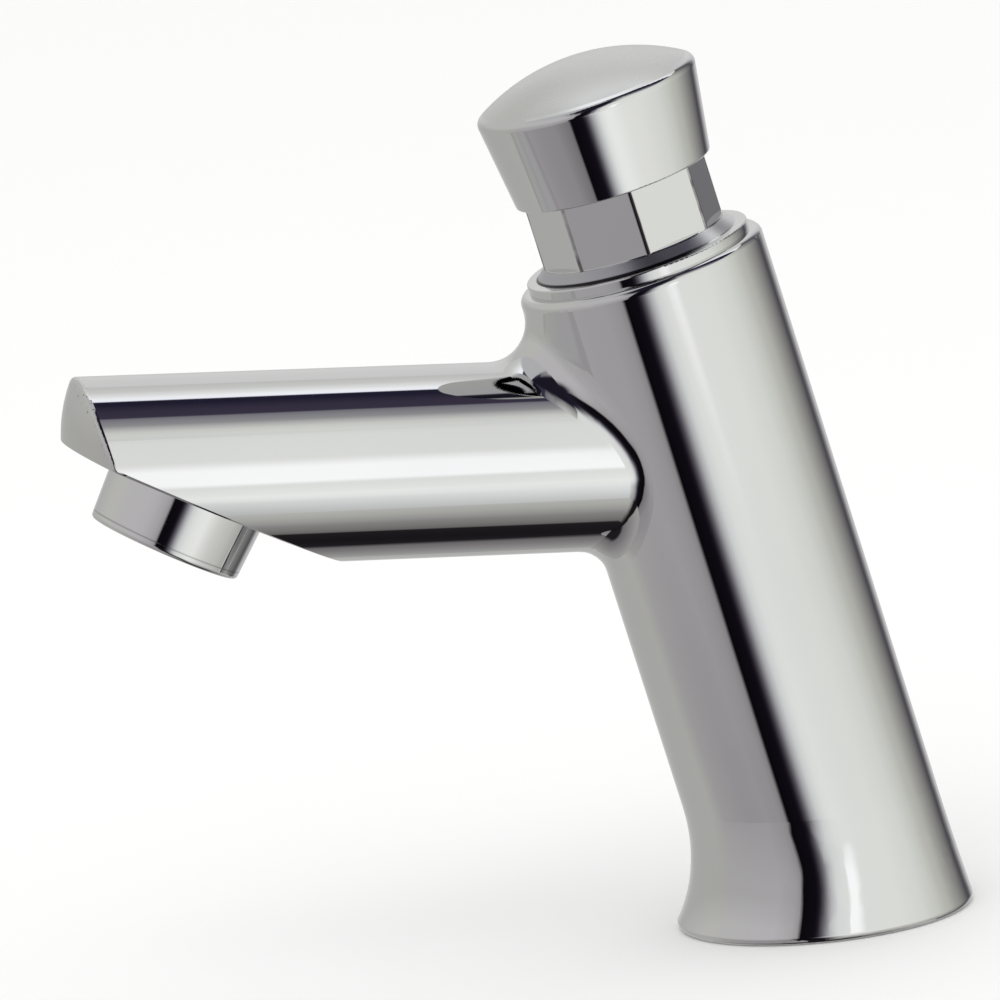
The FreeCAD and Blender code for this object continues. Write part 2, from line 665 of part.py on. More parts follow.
# Bonnet: threaded neck, visible flange and octagon on its cone, with the stem gland inside.
def bonnet():
    neck = turned("bonnet_neck", (
        ("0", bonnet_bottom),
        ("thread_radius - thread_gap", bonnet_bottom),
        ("thread_radius - thread_gap", rim),
        ("flange_radius", rim),
        ("flange_radius", flange_top),
        ("cone_radius", flange_top),
        ("cone_radius - cone_height", flange_top + " + cone_height"),
        ("0", flange_top + " + cone_height"),
    ), on_column())
    bevelled(neck, (1,), "neck_bevel")
    rounded(neck, (4,), "flange_edge")
    blank = prism("octagon_blank", 8, "octagon_radius", "octagon_height + flange_height / 2",
                  on_column(flange_top + " - flange_height / 2", "0", "0", "octagon_turn"))
    doc.recompute()
    corners = [number for number, edge in enumerate(blank.Shape.Edges, 1)
               if abs(edge.tangentAt(edge.FirstParameter).dot(column_axis())) > 1 - near]
    octagon = filleted("bonnet_octagon", blank, {"octagon_edge": corners})
    gland = "(bush_radius + bush_gap)"
    groove = "(%s + circlip_groove)" % gland
    groove_top = washer_low
    groove_low = "(%s - circlip_height - snug_gap)" % washer_low
    bore = turned("bonnet_bore", (
        ("0", bonnet_bottom + " - spare"),
        (gland, bonnet_bottom + " - spare"),
        (gland, groove_low),
        (groove, groove_low),
        (groove, groove_top),
        (gland, groove_top),
        (gland, bush_top),
        ("stem_radius + stem_hole_gap", bush_top),
        ("stem_radius + stem_hole_gap", well_bottom),
        ("bonnet_well", well_bottom),
        ("bonnet_well", flange_top + " + octagon_height + spare"),
        ("0", flange_top + " + octagon_height + spare"),
    ), on_column())
    solid = joined("bonnet_solid", [neck, octagon])
    piece(cut("bonnet", solid, bore), "bonnet")

    gasket = turned("bonnet_gasket", (
        ("chamber_radius + loose_gap", "ledge_level"),
        ("thread_radius - loose_gap", "ledge_level"),
        ("thread_radius - loose_gap", bonnet_bottom),
        ("chamber_radius + loose_gap", bonnet_bottom),
    ), on_column())
    piece(gasket, "bonnet_gasket")


# Gland in the bonnet: bush, seal, washer and circlip.
def gland():
    hole = "(stem_radius + running_gap)"
    bush = turned("stem_bush", (
        (hole, bush_bottom),
        ("bush_radius", bush_bottom),
        ("bush_radius", bush_top),
        (hole, bush_top),
    ), on_column())
    piece(bevelled(bush, (1, 2), "small_bevel"), "stem_bush")
    piece(torus("stem_seal", "(stem_radius + bush_radius) / 2", "seal_section",
                on_column("%s - seal_section" % bush_bottom)), "stem_seal")
    washer = turned("gland_washer", (
        ("stem_radius + gland_washer_gap", washer_low),
        ("bush_radius", washer_low),
        ("bush_radius", seal_bottom),
        ("stem_radius + gland_washer_gap", seal_bottom),
    ), on_column())
    piece(washer, "gland_washer")
    outer = "(bush_radius + circlip_groove - loose_gap)"
    ring = turned("circlip_ring", (
        (outer + " - circlip_width", washer_low + " - circlip_height"),
        (outer, washer_low + " - circlip_height"),
        (outer, washer_low),
        (outer + " - circlip_width", washer_low),
    ), on_column())
    gap = doc.addObject("Part::Box", "circlip_gap")
    gap.setExpression("Length", bound("2 * bush_radius"))
    gap.setExpression("Width", bound("circlip_opening"))
    gap.setExpression("Height", bound("3 * circlip_height"))
    place(gap, on_column(washer_low + " - 2 * circlip_height", "0", "-circlip_opening / 2"))
    piece(cut("gland_circlip", ring, gap), "gland_circlip")


# Return spring between the sleeve's ledge and the piston.
def return_spring():
    body = doc.addObject("PartDesign::Body", "return_spring")
    sketch = body.newObject("Sketcher::SketchObject", "wire_section")
    plane = [item for item in body.Origin.OriginFeatures if item.Role == "XZ_Plane"][0]
    sketch.AttachmentSupport = [(plane, "")]
    sketch.MapMode = "FlatFace"
    low = "%s + spring_gap + wire_radius" % spring_floor
    start = Vector(size("spring_radius"), size("seat_level"), 0)
    sketch.addGeometry(Part.Circle(start, Vector(0, 0, 1), size("wire_radius")), False)
    across = sketch.addConstraint(Sketcher.Constraint("DistanceX", -1, 1, 0, 3, start.x))
    sketch.setExpression("Constraints[%d]" % across, bound("spring_radius"))
    along = sketch.addConstraint(Sketcher.Constraint("DistanceY", -1, 1, 0, 3, start.y))
    sketch.setExpression("Constraints[%d]" % along, bound(low))
    radius = sketch.addConstraint(Sketcher.Constraint("Radius", 0, size("wire_radius")))
    sketch.setExpression("Constraints[%d]" % radius, bound("wire_radius"))
    coil = body.newObject("PartDesign::AdditiveHelix", "spring_coil")
    coil.Profile = sketch
    coil.ReferenceAxis = (sketch, ["V_Axis"])
    coil.Mode = 2
    height = "(spring_length - 2 * wire_radius - 2 * spring_gap)"
    coil.setExpression("Height", bound(height))
    coil.setExpression("Turns", bound("spring_turns"))
    place(body, on_column())
    piece(body, "return_spring")


# Stem, with collars over the piston and over the valve, and its tail and head threads.
def stem():
    groove = "(stem_radius - clip_groove)"
    clip_low = "(%s - clip_height)" % piston_bottom
    body = turned("stem", (
        ("0", nut_bottom + " - tail_end"),
        ("tail_radius", nut_bottom + " - tail_end"),
        ("tail_radius", washer_top),
        ("foot_collar_radius", washer_top),
        ("foot_collar_radius", washer_top + " + foot_collar_height"),
        ("stem_radius", washer_top + " + foot_collar_height"),
        ("stem_radius", clip_low),
        (groove, clip_low),
        (groove, piston_bottom),
        ("stem_radius", piston_bottom),
        ("stem_radius", piston_top),
        ("collar_radius", piston_top),
        ("collar_radius", piston_top + " + collar_height"),
        ("stem_radius", piston_top + " + collar_height"),
        ("stem_radius", boss_bottom + " + stem_in_boss"),
        ("0", boss_bottom + " + stem_in_boss"),
    ), on_column())
    piece(bevelled(body, (1, 14), "small_bevel"), "stem")


# Timing piston with its lip seal and the clip that holds it on the stem.
def piston():
    hole = "(stem_radius + running_gap)"
    seal_low = "(%s + piston_seal_level)" % piston_bottom
    seal_high = "(%s + piston_seal_height + 2 * snug_gap)" % seal_low
    inner = "(piston_radius - piston_groove)"
    body = turned("piston", (
        (hole, piston_bottom),
        ("piston_radius", piston_bottom),
        ("piston_radius", seal_low),
        (inner, seal_low),
        (inner, seal_high),
        ("piston_radius", seal_high),
        ("piston_radius", piston_top),
        (hole, piston_top),
    ), on_column())
    piece(bevelled(body, (1, 6), "small_bevel"), "piston")
    low = "(%s + snug_gap)" % seal_low
    high = "(%s - snug_gap)" % seal_high
    back = "(%s + snug_gap)" % inner
    seal = turned("piston_seal", (
        (back, low),
        ("piston_radius - seal_lip", low),
        ("piston_seal_radius", high + " - seal_lip"),
        ("piston_seal_radius", high),
        ("piston_seal_radius - seal_lip", high),
        (back + " + seal_lip", low + " + seal_web"),
        (back + " + seal_lip", high),
        (back, high),
    ), on_column())
    piece(seal, "piston_seal")
    clip_low = "(%s - clip_height + snug_gap)" % piston_bottom
    clip_hole = "(stem_radius - clip_groove + snug_gap)"
    clip = turned("piston_clip_ring", (
        (clip_hole, clip_low),
        ("clip_radius", clip_low),
        ("clip_radius", piston_bottom),
        (clip_hole, piston_bottom),
    ), on_column())
    gap = doc.addObject("Part::Box", "clip_gap")
    gap.setExpression("Length", bound("2 * clip_radius"))
    gap.setExpression("Width", bound("2 * (stem_radius - clip_grip)"))
    gap.setExpression("Height", bound("3 * clip_height"))
    place(gap, on_column(piston_bottom + " - 2 * clip_height", "0", "clip_grip - stem_radius"))
    piece(cut("piston_clip", clip, gap), "piston_clip")


# Valve on the stem's tail: rubber washer in a brass cup, held by a nut.
def valve():
    hole = "(tail_radius + running_gap)"
    washer = turned("valve_washer", (
        (hole, washer_bottom),
        ("valve_washer_radius", washer_bottom),
        ("valve_washer_radius", washer_top),
        (hole, washer_top),
    ), on_column())
    piece(rounded(washer, (2,), "small_bevel"), "valve_washer")
    outer = "(valve_washer_radius + loose_gap + valve_cup_wall)"
    cup = turned("valve_cup", (
        (hole, cup_bottom),
        (outer, cup_bottom),
        (outer, washer_bottom + " + valve_washer_height / 2"),
        ("valve_washer_radius + loose_gap", washer_bottom + " + valve_washer_height / 2"),
        ("valve_washer_radius + loose_gap", washer_bottom),
        (hole, washer_bottom),
    ), on_column())
    piece(bevelled(cup, (1,), "valve_cup_bevel"), "valve_cup")
    nut = prism("valve_nut_blank", 6, "valve_nut_radius", "valve_nut_height", on_column(nut_bottom))
    hole_tool = cylinder("valve_nut_hole", hole, "valve_nut_height + 2 * spare",
                         on_column(nut_bottom + " - spare"))
    piece(cut("valve_nut", nut, hole_tool), "valve_nut")


# Push button: conical shell with a domed crown, and a boss for the stem.
def push_button():
    inner = "(octagon_radius + button_gap)"
    hole = "(stem_radius + running_gap)"
    crown = "(button_top_level + crown_height)"
    widening = "(button_top_radius - button_low_radius) / button_height"
    body = turned("button_shell", (
        ("0", crown + " + spare"),
        ("0", boss_bottom + " + stem_in_boss + stem_end_gap"),
        (hole, boss_bottom + " + stem_in_boss + stem_end_gap"),
        (hole, boss_bottom),
        ("button_boss", boss_bottom),
        ("button_boss", ceiling),
        (inner, ceiling),
        (inner, "button_low_level"),
        ("button_low_radius", "button_low_level"),
        ("button_top_radius + %s * (crown_height + spare)" % widening, crown + " + spare"),
    ), on_column())
    ball = doc.addObject("Part::Sphere", "crown_ball")
    radius = "((button_top_radius^2 + crown_height^2) / (2 * crown_height))"
    ball.setExpression("Radius", bound(radius))
    place(ball, on_column("%s - %s" % (crown, radius)))
    domed = common("button_domed", body, ball)
    doc.recompute()
    crown_ring = ring(domed.Shape, size("button_top_radius"), size("button_top_level"))
    low_ring = ring(domed.Shape, size("button_low_radius"), size("button_low_level"))
    piece(filleted("push_button", domed, {"crown_edge": crown_ring, "button_edge": low_ring}), "push_button")

    nut = prism("locknut_blank", 6, "locknut_radius", "locknut_height", on_column(locknut_bottom))
    tool = cylinder("locknut_hole", hole, "locknut_height + 2 * spare",
                    on_column(locknut_bottom + " - spare"))
    piece(cut("button_locknut", nut, tool), "button_locknut")


# Aerator: threaded housing with washer, flow former, screen and honeycomb flow straightener.
def aerator():
    housing = turned("aerator_housing", (
        ("housing_bore", neck_top),
        ("housing_neck", neck_top),
        ("housing_neck", "outlet_face"),
        ("housing_top_radius", "outlet_face"),
        ("housing_low_radius", rim_bottom),
        ("housing_lip", rim_bottom),
        ("housing_lip", insert_floor),
        ("housing_bore", insert_floor),
    ), on_outlet())
    bevelled(housing, (1,), "small_bevel")
    piece(rounded(housing, (4,), "housing_edge"), "aerator_housing")

    washer = turned("aerator_washer", (
        ("washer_inner", "outlet_face - outlet_depth"),
        ("outlet_bore - loose_gap", "outlet_face - outlet_depth"),
        ("outlet_bore - loose_gap", neck_top),
        ("washer_inner", neck_top),
    ), on_outlet())
    piece(washer, "aerator_washer")

    insert = "(housing_bore - insert_gap)"
    grid_top = "(%s - grid_height)" % insert_floor
    screen_top = "(%s - screen_height)" % grid_top
    plate_bottom = "(%s - former_drop)" % screen_top
    plate_top = "(%s - former_height)" % plate_bottom
    former = turned("former_body", (
        ("0", plate_top + " - former_cone_height"),
        ("former_cone_radius", plate_top),
        (insert, plate_top),
        (insert, screen_top),
        (insert + " - former_wall", screen_top),
        (insert + " - former_wall", plate_bottom),
        ("0", plate_bottom),
    ), on_outlet())
    holes = []
    for hole in range(former_hole_count):
        angle = 360 / former_hole_count * hole
        holes.append(cylinder("former_hole_%d" % hole, "former_hole", "former_height + 2 * spare",
                              on_outlet(plate_top + " - spare", "former_circle * cos(%g)" % angle,
                                        "former_circle * sin(%g)" % angle)))
    piece(cut("flow_former", former, joined("former_holes", holes)), "flow_former")

    screen = turned("aerator_screen", (
        ("0", screen_top),
        (insert, screen_top),
        (insert, grid_top),
        ("0", grid_top),
    ), on_outlet())
    piece(screen, "aerator_screen")

    disc = turned("grid_disc", (
        ("0", grid_top),
        (insert, grid_top),
        (insert, insert_floor),
        ("0", insert_floor),
    ), on_outlet())
    cells = []
    pitch = size("cell_pitch")
    reach = size("housing_lip") - size("cell_radius")
    steps = int(reach / pitch) + 1
    for across in range(-steps, steps + 1):
        for along in range(-steps, steps + 1):
            x = pitch * (across + along / 2)
            y = pitch * along * math.sqrt(3) / 2
            if math.hypot(x, y) > reach:
                continue
            cell = prism("cell_%d" % len(cells), 6, "cell_radius", "grid_height + 2 * spare",
                         on_outlet(grid_top + " - spare", "cell_pitch * %g" % (across + along / 2),
                                   "cell_pitch * %.6f" % (along * math.sqrt(3) / 2), "30"))
            cells.append(cell)
    piece(cut("aerator_grid", disc, joined("grid_cells", cells)), "aerator_grid")


tap_body()
base_gasket()
inlet_strainer()
seat_ring()
cartridge_sleeve()
bonnet()
gland()
return_spring()
stem()
piston()
valve()
push_button()
aerator()
doc.recompute()

for item in doc.Objects:
    if "Invalid" in item.State or "Error" in item.State:
        raise RuntimeError("%s did not build: %s" % (item.Name, item.State))
for item in pieces:
    if item.Shape.isNull() or not item.Shape.isValid():
        raise RuntimeError("%s has no sound shape" % item.Label)
for item in pieces:
    item.Shape.exportStep("parts/%s.step" % item.Label)
    box = item.Shape.BoundBox
    print("%-18s solids %d volume %9.1f  x %7.2f %7.2f  y %6.2f %6.2f  z %7.2f %7.2f" % (
        item.Label, len(item.Shape.Solids), item.Shape.Volume,
        box.XMin, box.XMax, box.YMin, box.YMax, box.ZMin, box.ZMax))
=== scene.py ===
import math

import bpy
from mathutils import Matrix, Vector

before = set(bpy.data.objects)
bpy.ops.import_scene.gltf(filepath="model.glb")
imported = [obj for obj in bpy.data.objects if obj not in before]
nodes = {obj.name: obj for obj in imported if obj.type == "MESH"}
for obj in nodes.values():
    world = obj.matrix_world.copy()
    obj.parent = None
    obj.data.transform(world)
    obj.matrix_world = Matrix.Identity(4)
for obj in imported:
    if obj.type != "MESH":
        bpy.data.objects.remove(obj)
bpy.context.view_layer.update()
print("frame loaded with", len(nodes), "nodes")


# The tap's own lines, in degrees and metres. Most patterns are turned with the leaning column.
tap = {
    "lean": 12.17,
    "spoutRise": 5.66,
    "spoutHeight": 0.0834,
    "outletTilt": 30.16,
    "outletReach": 0.0854,
    "noseReach": 0.0823,
    "noseRise": 0.0059,
}
origin = Vector((0, 0, 0))
upright = Vector((0, 0, 1))
lean = math.radians(tap["lean"])
columnUp = Vector((-math.sin(lean), 0, math.cos(lean)))
columnBack = Vector((math.cos(lean), 0, math.sin(lean)))
spoutRise = math.radians(tap["spoutRise"])
spoutWay = Vector((-math.cos(spoutRise), 0, math.sin(spoutRise)))
spoutUp = Vector((math.sin(spoutRise), 0, math.cos(spoutRise)))
spoutRoot = columnUp * tap["spoutHeight"]
outletTilt = math.radians(tap["outletTilt"])
outletDown = Vector((-math.sin(outletTilt), 0, -math.cos(outletTilt)))
outletMiddle = spoutRoot + spoutWay * tap["outletReach"]
noseMiddle = spoutRoot + spoutWay * tap["noseReach"] + spoutUp * tap["noseRise"]


# Camera, level with the tap's own lean in the picture.
camera = {
    "azimuth": -11.69,
    "elevation": 10.55,
    "roll": 5.74,
    "distance": 1.5,
    "target": (-0.05238, 0.0, 0.07793),
    "lens": 324.5,
    "sensor": 36,
    "nearest": 0.05,
    "furthest": 60,
}


def placeCamera():
    turn = Matrix.Rotation(math.radians(camera["azimuth"]), 3, "Z")
    turn = turn @ Matrix.Rotation(math.radians(90 - camera["elevation"]), 3, "X")
    turn = turn @ Matrix.Rotation(math.radians(-camera["roll"]), 3, "Z")
    back = turn @ upright
    place = Vector(camera["target"]) + back * camera["distance"]
    bpy.ops.object.camera_add()
    shot = bpy.context.object
    shot.name = "productCamera"
    shot.matrix_world = Matrix.Translation(place) @ turn.to_4x4()
    shot.data.lens = camera["lens"]
    shot.data.sensor_width = camera["sensor"]
    shot.data.clip_start = camera["nearest"]
    shot.data.clip_end = camera["furthest"]
    bpy.context.scene.camera = shot


placeCamera()
print("camera placed")


# Small helpers for node materials.
def newMaterial(name):
    material = bpy.data.materials.new(name)
    material.use_nodes = True
    return material, material.node_tree.nodes["Principled BSDF"]


def addNode(tree, kind, **settings):
    node = tree.nodes.new(kind)
    for key, value in settings.items():
        if key in node.inputs:
            node.inputs[key].default_value = value
        else:
            setattr(node, key, value)
    return node


def addRamp(tree, source, stops):
    ramp = tree.nodes.new("ShaderNodeValToRGB")
    points = ramp.color_ramp.elements
    while len(points) < len(stops):
        points.new(1.0)
    for point, (at, tone) in zip(points, stops):
        point.position = at
        point.color = (*tone, 1.0) if isinstance(tone, tuple) else (tone, tone, tone, 1.0)
    tree.links.new(source, ramp.inputs["Fac"])
    return ramp.outputs["Color"]


def addRange(tree, source, fromLow, fromHigh, toLow, toHigh, smooth=False):
    span = tree.nodes.new("ShaderNodeMapRange")
    span.interpolation_type = "SMOOTHSTEP" if smooth else "LINEAR"
    span.inputs["From Min"].default_value = fromLow
    span.inputs["From Max"].default_value = fromHigh
    span.inputs["To Min"].default_value = toLow
    span.inputs["To Max"].default_value = toHigh
    tree.links.new(source, span.inputs["Value"])
    return span.outputs["Result"]


def addMath(tree, operation, first, second):
    node = addNode(tree, "ShaderNodeMath", operation=operation)
    for index, value in enumerate((first, second)):
        if isinstance(value, (int, float)):
            node.inputs[index].default_value = value
        else:
            tree.links.new(value, node.inputs[index])
    return node.outputs["Value"]


def both(tree, first, second):
    return addMath(tree, "MULTIPLY", first, second)


def addVector(tree, operation, first, second, result="Vector"):
    node = addNode(tree, "ShaderNodeVectorMath", operation=operation)
    tree.links.new(first, node.inputs[0])
    node.inputs[1].default_value = second
    return node.outputs[result]


def lengthOf(tree, vector):
    return addVector(tree, "LENGTH", vector, origin, "Value")


def addMix(tree, share, first, second):
    # A mix node has one pair of slots for each kind of value: 6 and 7 are its colours.
    mix = tree.nodes.new("ShaderNodeMix")
    mix.data_type = "RGBA"
    for value, slot in ((first, mix.inputs[6]), (second, mix.inputs[7])):
        if isinstance(value, tuple):
            slot.default_value = (*value, 1)
        else:
            tree.links.new(value, slot)
    tree.links.new(share, mix.inputs["Factor"])
    return mix.outputs[2]


def placeOf(tree):
    return tree.nodes.new("ShaderNodeTexCoord").outputs["Object"]


def addCoordinates(tree, centre=(0, 0, 0), turn=(0, 0, 0), scale=(1, 1, 1)):
    mapping = tree.nodes.new("ShaderNodeMapping")
    mapping.vector_type = "TEXTURE"
    mapping.inputs["Location"].default_value = centre
    mapping.inputs["Rotation"].default_value = turn
    mapping.inputs["Scale"].default_value = scale
    tree.links.new(placeOf(tree), mapping.inputs["Vector"])
    return mapping.outputs["Vector"]


def addBump(tree, height, strength, distance, before):
    bump = addNode(tree, "ShaderNodeBump", Strength=strength, Distance=distance)
    tree.links.new(height, bump.inputs["Height"])
    if before is not None:
        tree.links.new(before, bump.inputs["Normal"])
    return bump.outputs["Normal"]


# Light tent: a round room of plain sheets that only the metal sees.
tent = {
    "centre": (-0.05, 0.0, 0.08),
    "radius": 3.0,
    "halfHeight": 3.0,
    # Turn in degrees, 0 in front and 90 at the right, with the sheet's tone there.
    "wall": (
        (-180, (0.60, 0.60, 0.59)),
        (-165, (0.50, 0.50, 0.49)),
        (-112, (0.515, 0.51, 0.49)),
        (-98, (0.51, 0.50, 0.50)),
        (-50, (0.50, 0.485, 0.50)),
        (-36, (0.45, 0.44, 0.45)),
        (-30.5, (0.38, 0.36, 0.37)),
        (-28.5, (0.004, 0.003, 0.005)),
        (-17.5, (0.006, 0.005, 0.008)),
        (-15, (0.025, 0.022, 0.030)),
        (-12.5, (0.11, 0.105, 0.125)),
        (-10.5, (0.23, 0.22, 0.245)),
        (-6.5, (0.59, 0.59, 0.60)),
        (-1, (0.90, 0.91, 0.91)),
        (6, (0.96, 0.97, 0.95)),
        (45, (0.95, 0.96, 0.92)),
        (66, (0.87, 0.88, 0.84)),
        (80, (0.74, 0.75, 0.70)),
        (88, (0.64, 0.64, 0.59)),
        (95, (0.58, 0.58, 0.54)),
        (103, (0.45, 0.45, 0.42)),
        (110, (0.35, 0.345, 0.33)),
        (120, (0.22, 0.215, 0.215)),
        (130, (0.085, 0.08, 0.09)),
        (134, (0.12, 0.115, 0.125)),
        (139, (0.27, 0.265, 0.28)),
        (147, (0.56, 0.56, 0.57)),
        (160, (0.64, 0.64, 0.64)),
        (180, (0.62, 0.62, 0.61)),
    ),
    # The same for the lower part of the wall.
    "lowWall": (
        (-180, (0.54, 0.54, 0.53)),
        (-150, (0.48, 0.48, 0.47)),
        (-116, (0.52, 0.52, 0.50)),
        (-100, (0.42, 0.41, 0.41)),
        (-72, (0.36, 0.345, 0.36)),
        (-50, (0.34, 0.32, 0.34)),
        (-36, (0.26, 0.245, 0.26)),
        (-31.5, (0.23, 0.215, 0.23)),
        (-29.5, (0.004, 0.003, 0.005)),
        (-14, (0.008, 0.006, 0.011)),
        (-11, (0.025, 0.022, 0.030)),
        (-8, (0.10, 0.095, 0.12)),
        (-2, (0.42, 0.425, 0.44)),
        (5.5, (0.89, 0.90, 0.90)),
        (12, (1.12, 1.13, 1.13)),
        (20, (1.05, 1.06, 1.04)),
        (31, (0.93, 0.93, 0.90)),
        (66, (0.86, 0.86, 0.82)),
        (80, (0.74, 0.75, 0.70)),
        (95, (0.58, 0.58, 0.54)),
        (110, (0.35, 0.345, 0.33)),
        (131, (0.10, 0.095, 0.105)),
        (146, (0.50, 0.50, 0.50)),
        (180, (0.54, 0.54, 0.53)),
    ),
    # Share of the lower part over height, in shares of the tent's half height.
    "lowShare": (
        (-0.62, 1.0),
        (-0.52, 0.75),
        (-0.45, 0.40),
        (-0.36, 0.30),
        (-0.08, 0.0),
    ),
    # Distance from the ceiling's front edge, in shares of its width.
    "ceiling": (
        (0.00, (0.86, 0.865, 0.84)),
        (0.10, (0.84, 0.85, 0.82)),
        (0.17, (0.76, 0.765, 0.73)),
        (0.225, (0.57, 0.57, 0.56)),
        (0.275, (0.35, 0.35, 0.365)),
        (0.335, (0.27, 0.265, 0.295)),
        (0.365, (0.22, 0.215, 0.245)),
        (0.382, (0.050, 0.042, 0.072)),
        (0.46, (0.045, 0.038, 0.065)),
        (0.56, (0.018, 0.016, 0.036)),
        (0.606, (0.018, 0.016, 0.036)),
        (0.620, (1.15, 1.16, 1.28)),
        (0.66, (1.12, 1.13, 1.16)),
        (0.705, (0.96, 0.97, 0.97)),
        (0.795, (0.76, 0.765, 0.75)),
        (0.92, (0.68, 0.685, 0.67)),
    ),
    # Distance from the ground's middle, in shares of its radius, in front and behind.
    "ground": (
        (0.0, (0.010, 0.008, 0.010)),
        (0.20, (0.017, 0.014, 0.017)),
        (0.255, (0.020, 0.017, 0.020)),
        (0.285, (0.185, 0.178, 0.175)),
        (0.38, (0.245, 0.238, 0.233)),
        (0.50, (0.30, 0.293, 0.287)),
        (0.61, (0.40, 0.395, 0.385)),
        (0.78, (0.51, 0.51, 0.485)),
        (0.98, (0.59, 0.59, 0.565)),
    ),
    "groundBehind": (
        (0.20, (0.017, 0.014, 0.017)),
        (0.25, (0.10, 0.095, 0.10)),
        (0.30, (0.20, 0.19, 0.195)),
        (0.45, (0.26, 0.25, 0.25)),
        (0.60, (0.32, 0.31, 0.315)),
        (0.85, (0.40, 0.40, 0.39)),
        (1.0, (0.42, 0.42, 0.41)),
    ),
    # Brightness over height, in shares of the half height, in front and at the sides.
    "frontHeights": (
        (-1.0, 0.62),
        (-0.87, 0.68),
        (-0.73, 0.77),
        (-0.60, 0.86),
        (-0.49, 0.99),
        (-0.42, 1.07),
        (-0.34, 1.03),
        (-0.22, 1.0),
        (0.84, 0.96),
        (1.0, 0.92),
    ),
    "sideHeights": (
        (0.0, 1.0),
        (0.30, 1.20),
    ),
    # Degrees by which the wall's tones stand further left at the column's height.
    "bulge": 3.0,
    "bulgeHeights": (-0.60, -0.44, -0.33, -0.12),
    # Bright soft patch on the wall, which the spout's side mirrors all along.
    "patchTurns": (6.5, 9.0, 12.5, 20.0),
    "patchHeights": (-0.20, -0.11, 0.13, 0.34),
    "patchTone": (1.27, 1.27, 1.28),
    # The wall's black stripe widens above and goes on over the ceiling and the ground.
    "highStripe": (-50.0, -36.0, -9.0, 8.0),
    "highStripeFrom": (0.42, 0.90),
    "ceilingStripe": (-60.0, -50.0, -4.0, 24.0),
    "stripeAbove": (0.014, 0.012, 0.022),
    "groundStripe": (-27.0, -23.0, -8.0, 6.0),
    "stripeBelow": (0.012, 0.010, 0.012),
    # Lighter part of the ceiling at the left.
    "ceilingLeft": (-150.0, -135.0, -68.0, -61.0),
    "leftAbove": (0.56, 0.56, 0.575),
    # Turns of the front, and where the ramps of the wall's two halves overlap and change.
    "frontTurns": (-14, 4, 120, 140),
    "rampOverlap": (5, 6),
    "rampChange": (5.4, 5.6),
    # Sides of the round room, and how flat a face lies that is ceiling or ground.
    "sides": 96,
    "flatFrom": 0.5,
}


def sheetMaterial(name):
    material = bpy.data.materials.new(name)
    material.use_nodes = True
    tree = material.node_tree
    tree.nodes.remove(tree.nodes["Principled BSDF"])
    glow = tree.nodes.new("ShaderNodeEmission")
    tree.links.new(glow.outputs["Emission"], tree.nodes["Material Output"].inputs["Surface"])
    return material, tree, glow


# Turns and heights as shares from 0 to 1, as the ramps need them.
def turnShare(turn):
    return (turn + 180) / 360


def heightShare(height):
    return (height + 1) / 2


def heightRamp(tree, level, stops):
    return addRamp(tree, level, [(heightShare(height), tone) for height, tone in stops])


def wallRamp(tree, around, stops):
    # A ramp holds 32 stops, so the wall's two halves have one each.
    first, last = tent["rampOverlap"]
    left = [(turnShare(turn), tone) for turn, tone in stops if turn <= last]
    right = [(turnShare(turn), tone) for turn, tone in stops if turn >= first]
    start, end = (turnShare(turn) for turn in tent["rampChange"])
    toRight = addRange(tree, around, start, end, 0.0, 1.0)
    return addMix(tree, toRight, addRamp(tree, around, left), addRamp(tree, around, right))


def turnOf(tree):
    around = addCoordinates(tree, turn=(0, 0, math.radians(-90)))
    angle = addNode(tree, "ShaderNodeTexGradient", gradient_type="RADIAL")
    tree.links.new(around, angle.inputs["Vector"])
    return angle.outputs["Fac"]


def fade(tree, value, places, peak=1.0):
    # Rises between the first two places and falls between the last two.
    rise = addRange(tree, value, places[0], places[1], 0.0, peak, smooth=True)
    fall = addRange(tree, value, places[2], places[3], 1.0, 0.0, smooth=True)
    return both(tree, rise, fall)


def between(tree, around, turns):
    return fade(tree, around, [turnShare(turn) for turn in turns])


def wallSheet():
    material, tree, glow = sheetMaterial("tentWall")
    around = turnOf(tree)
    split = tree.nodes.new("ShaderNodeSeparateXYZ")
    tree.links.new(placeOf(tree), split.inputs["Vector"])
    level = addRange(tree, split.outputs["Z"], -tent["halfHeight"], tent["halfHeight"], 0.0, 1.0)

    bulgeHeights = [heightShare(height) for height in tent["bulgeHeights"]]
    bulge = fade(tree, level, bulgeHeights, tent["bulge"] / 360)
    shifted = addMath(tree, "ADD", around, bulge)
    wholeTone, lowTone = (wallRamp(tree, shifted, tent[part]) for part in ("wall", "lowWall"))
    tone = addMix(tree, heightRamp(tree, level, tent["lowShare"]), wholeTone, lowTone)

    patchHeights = [heightShare(height) for height in tent["patchHeights"]]
    patch = both(tree, fade(tree, level, patchHeights), between(tree, around, tent["patchTurns"]))
    tone = addMix(tree, patch, tone, tent["patchTone"])

    start, full = (heightShare(height) for height in tent["highStripeFrom"])
    upper = addRange(tree, level, start, full, 0.0, 1.0, smooth=True)
    stripe = both(tree, upper, between(tree, around, tent["highStripe"]))
    tree.links.new(addMix(tree, stripe, tone, tent["stripeAbove"]), glow.inputs["Color"])

    aside, ahead = (heightRamp(tree, level, tent[part]) for part in ("sideHeights", "frontHeights"))
    strength = addMix(tree, between(tree, around, tent["frontTurns"]), aside, ahead)
    tree.links.new(strength, glow.inputs["Strength"])
    return material


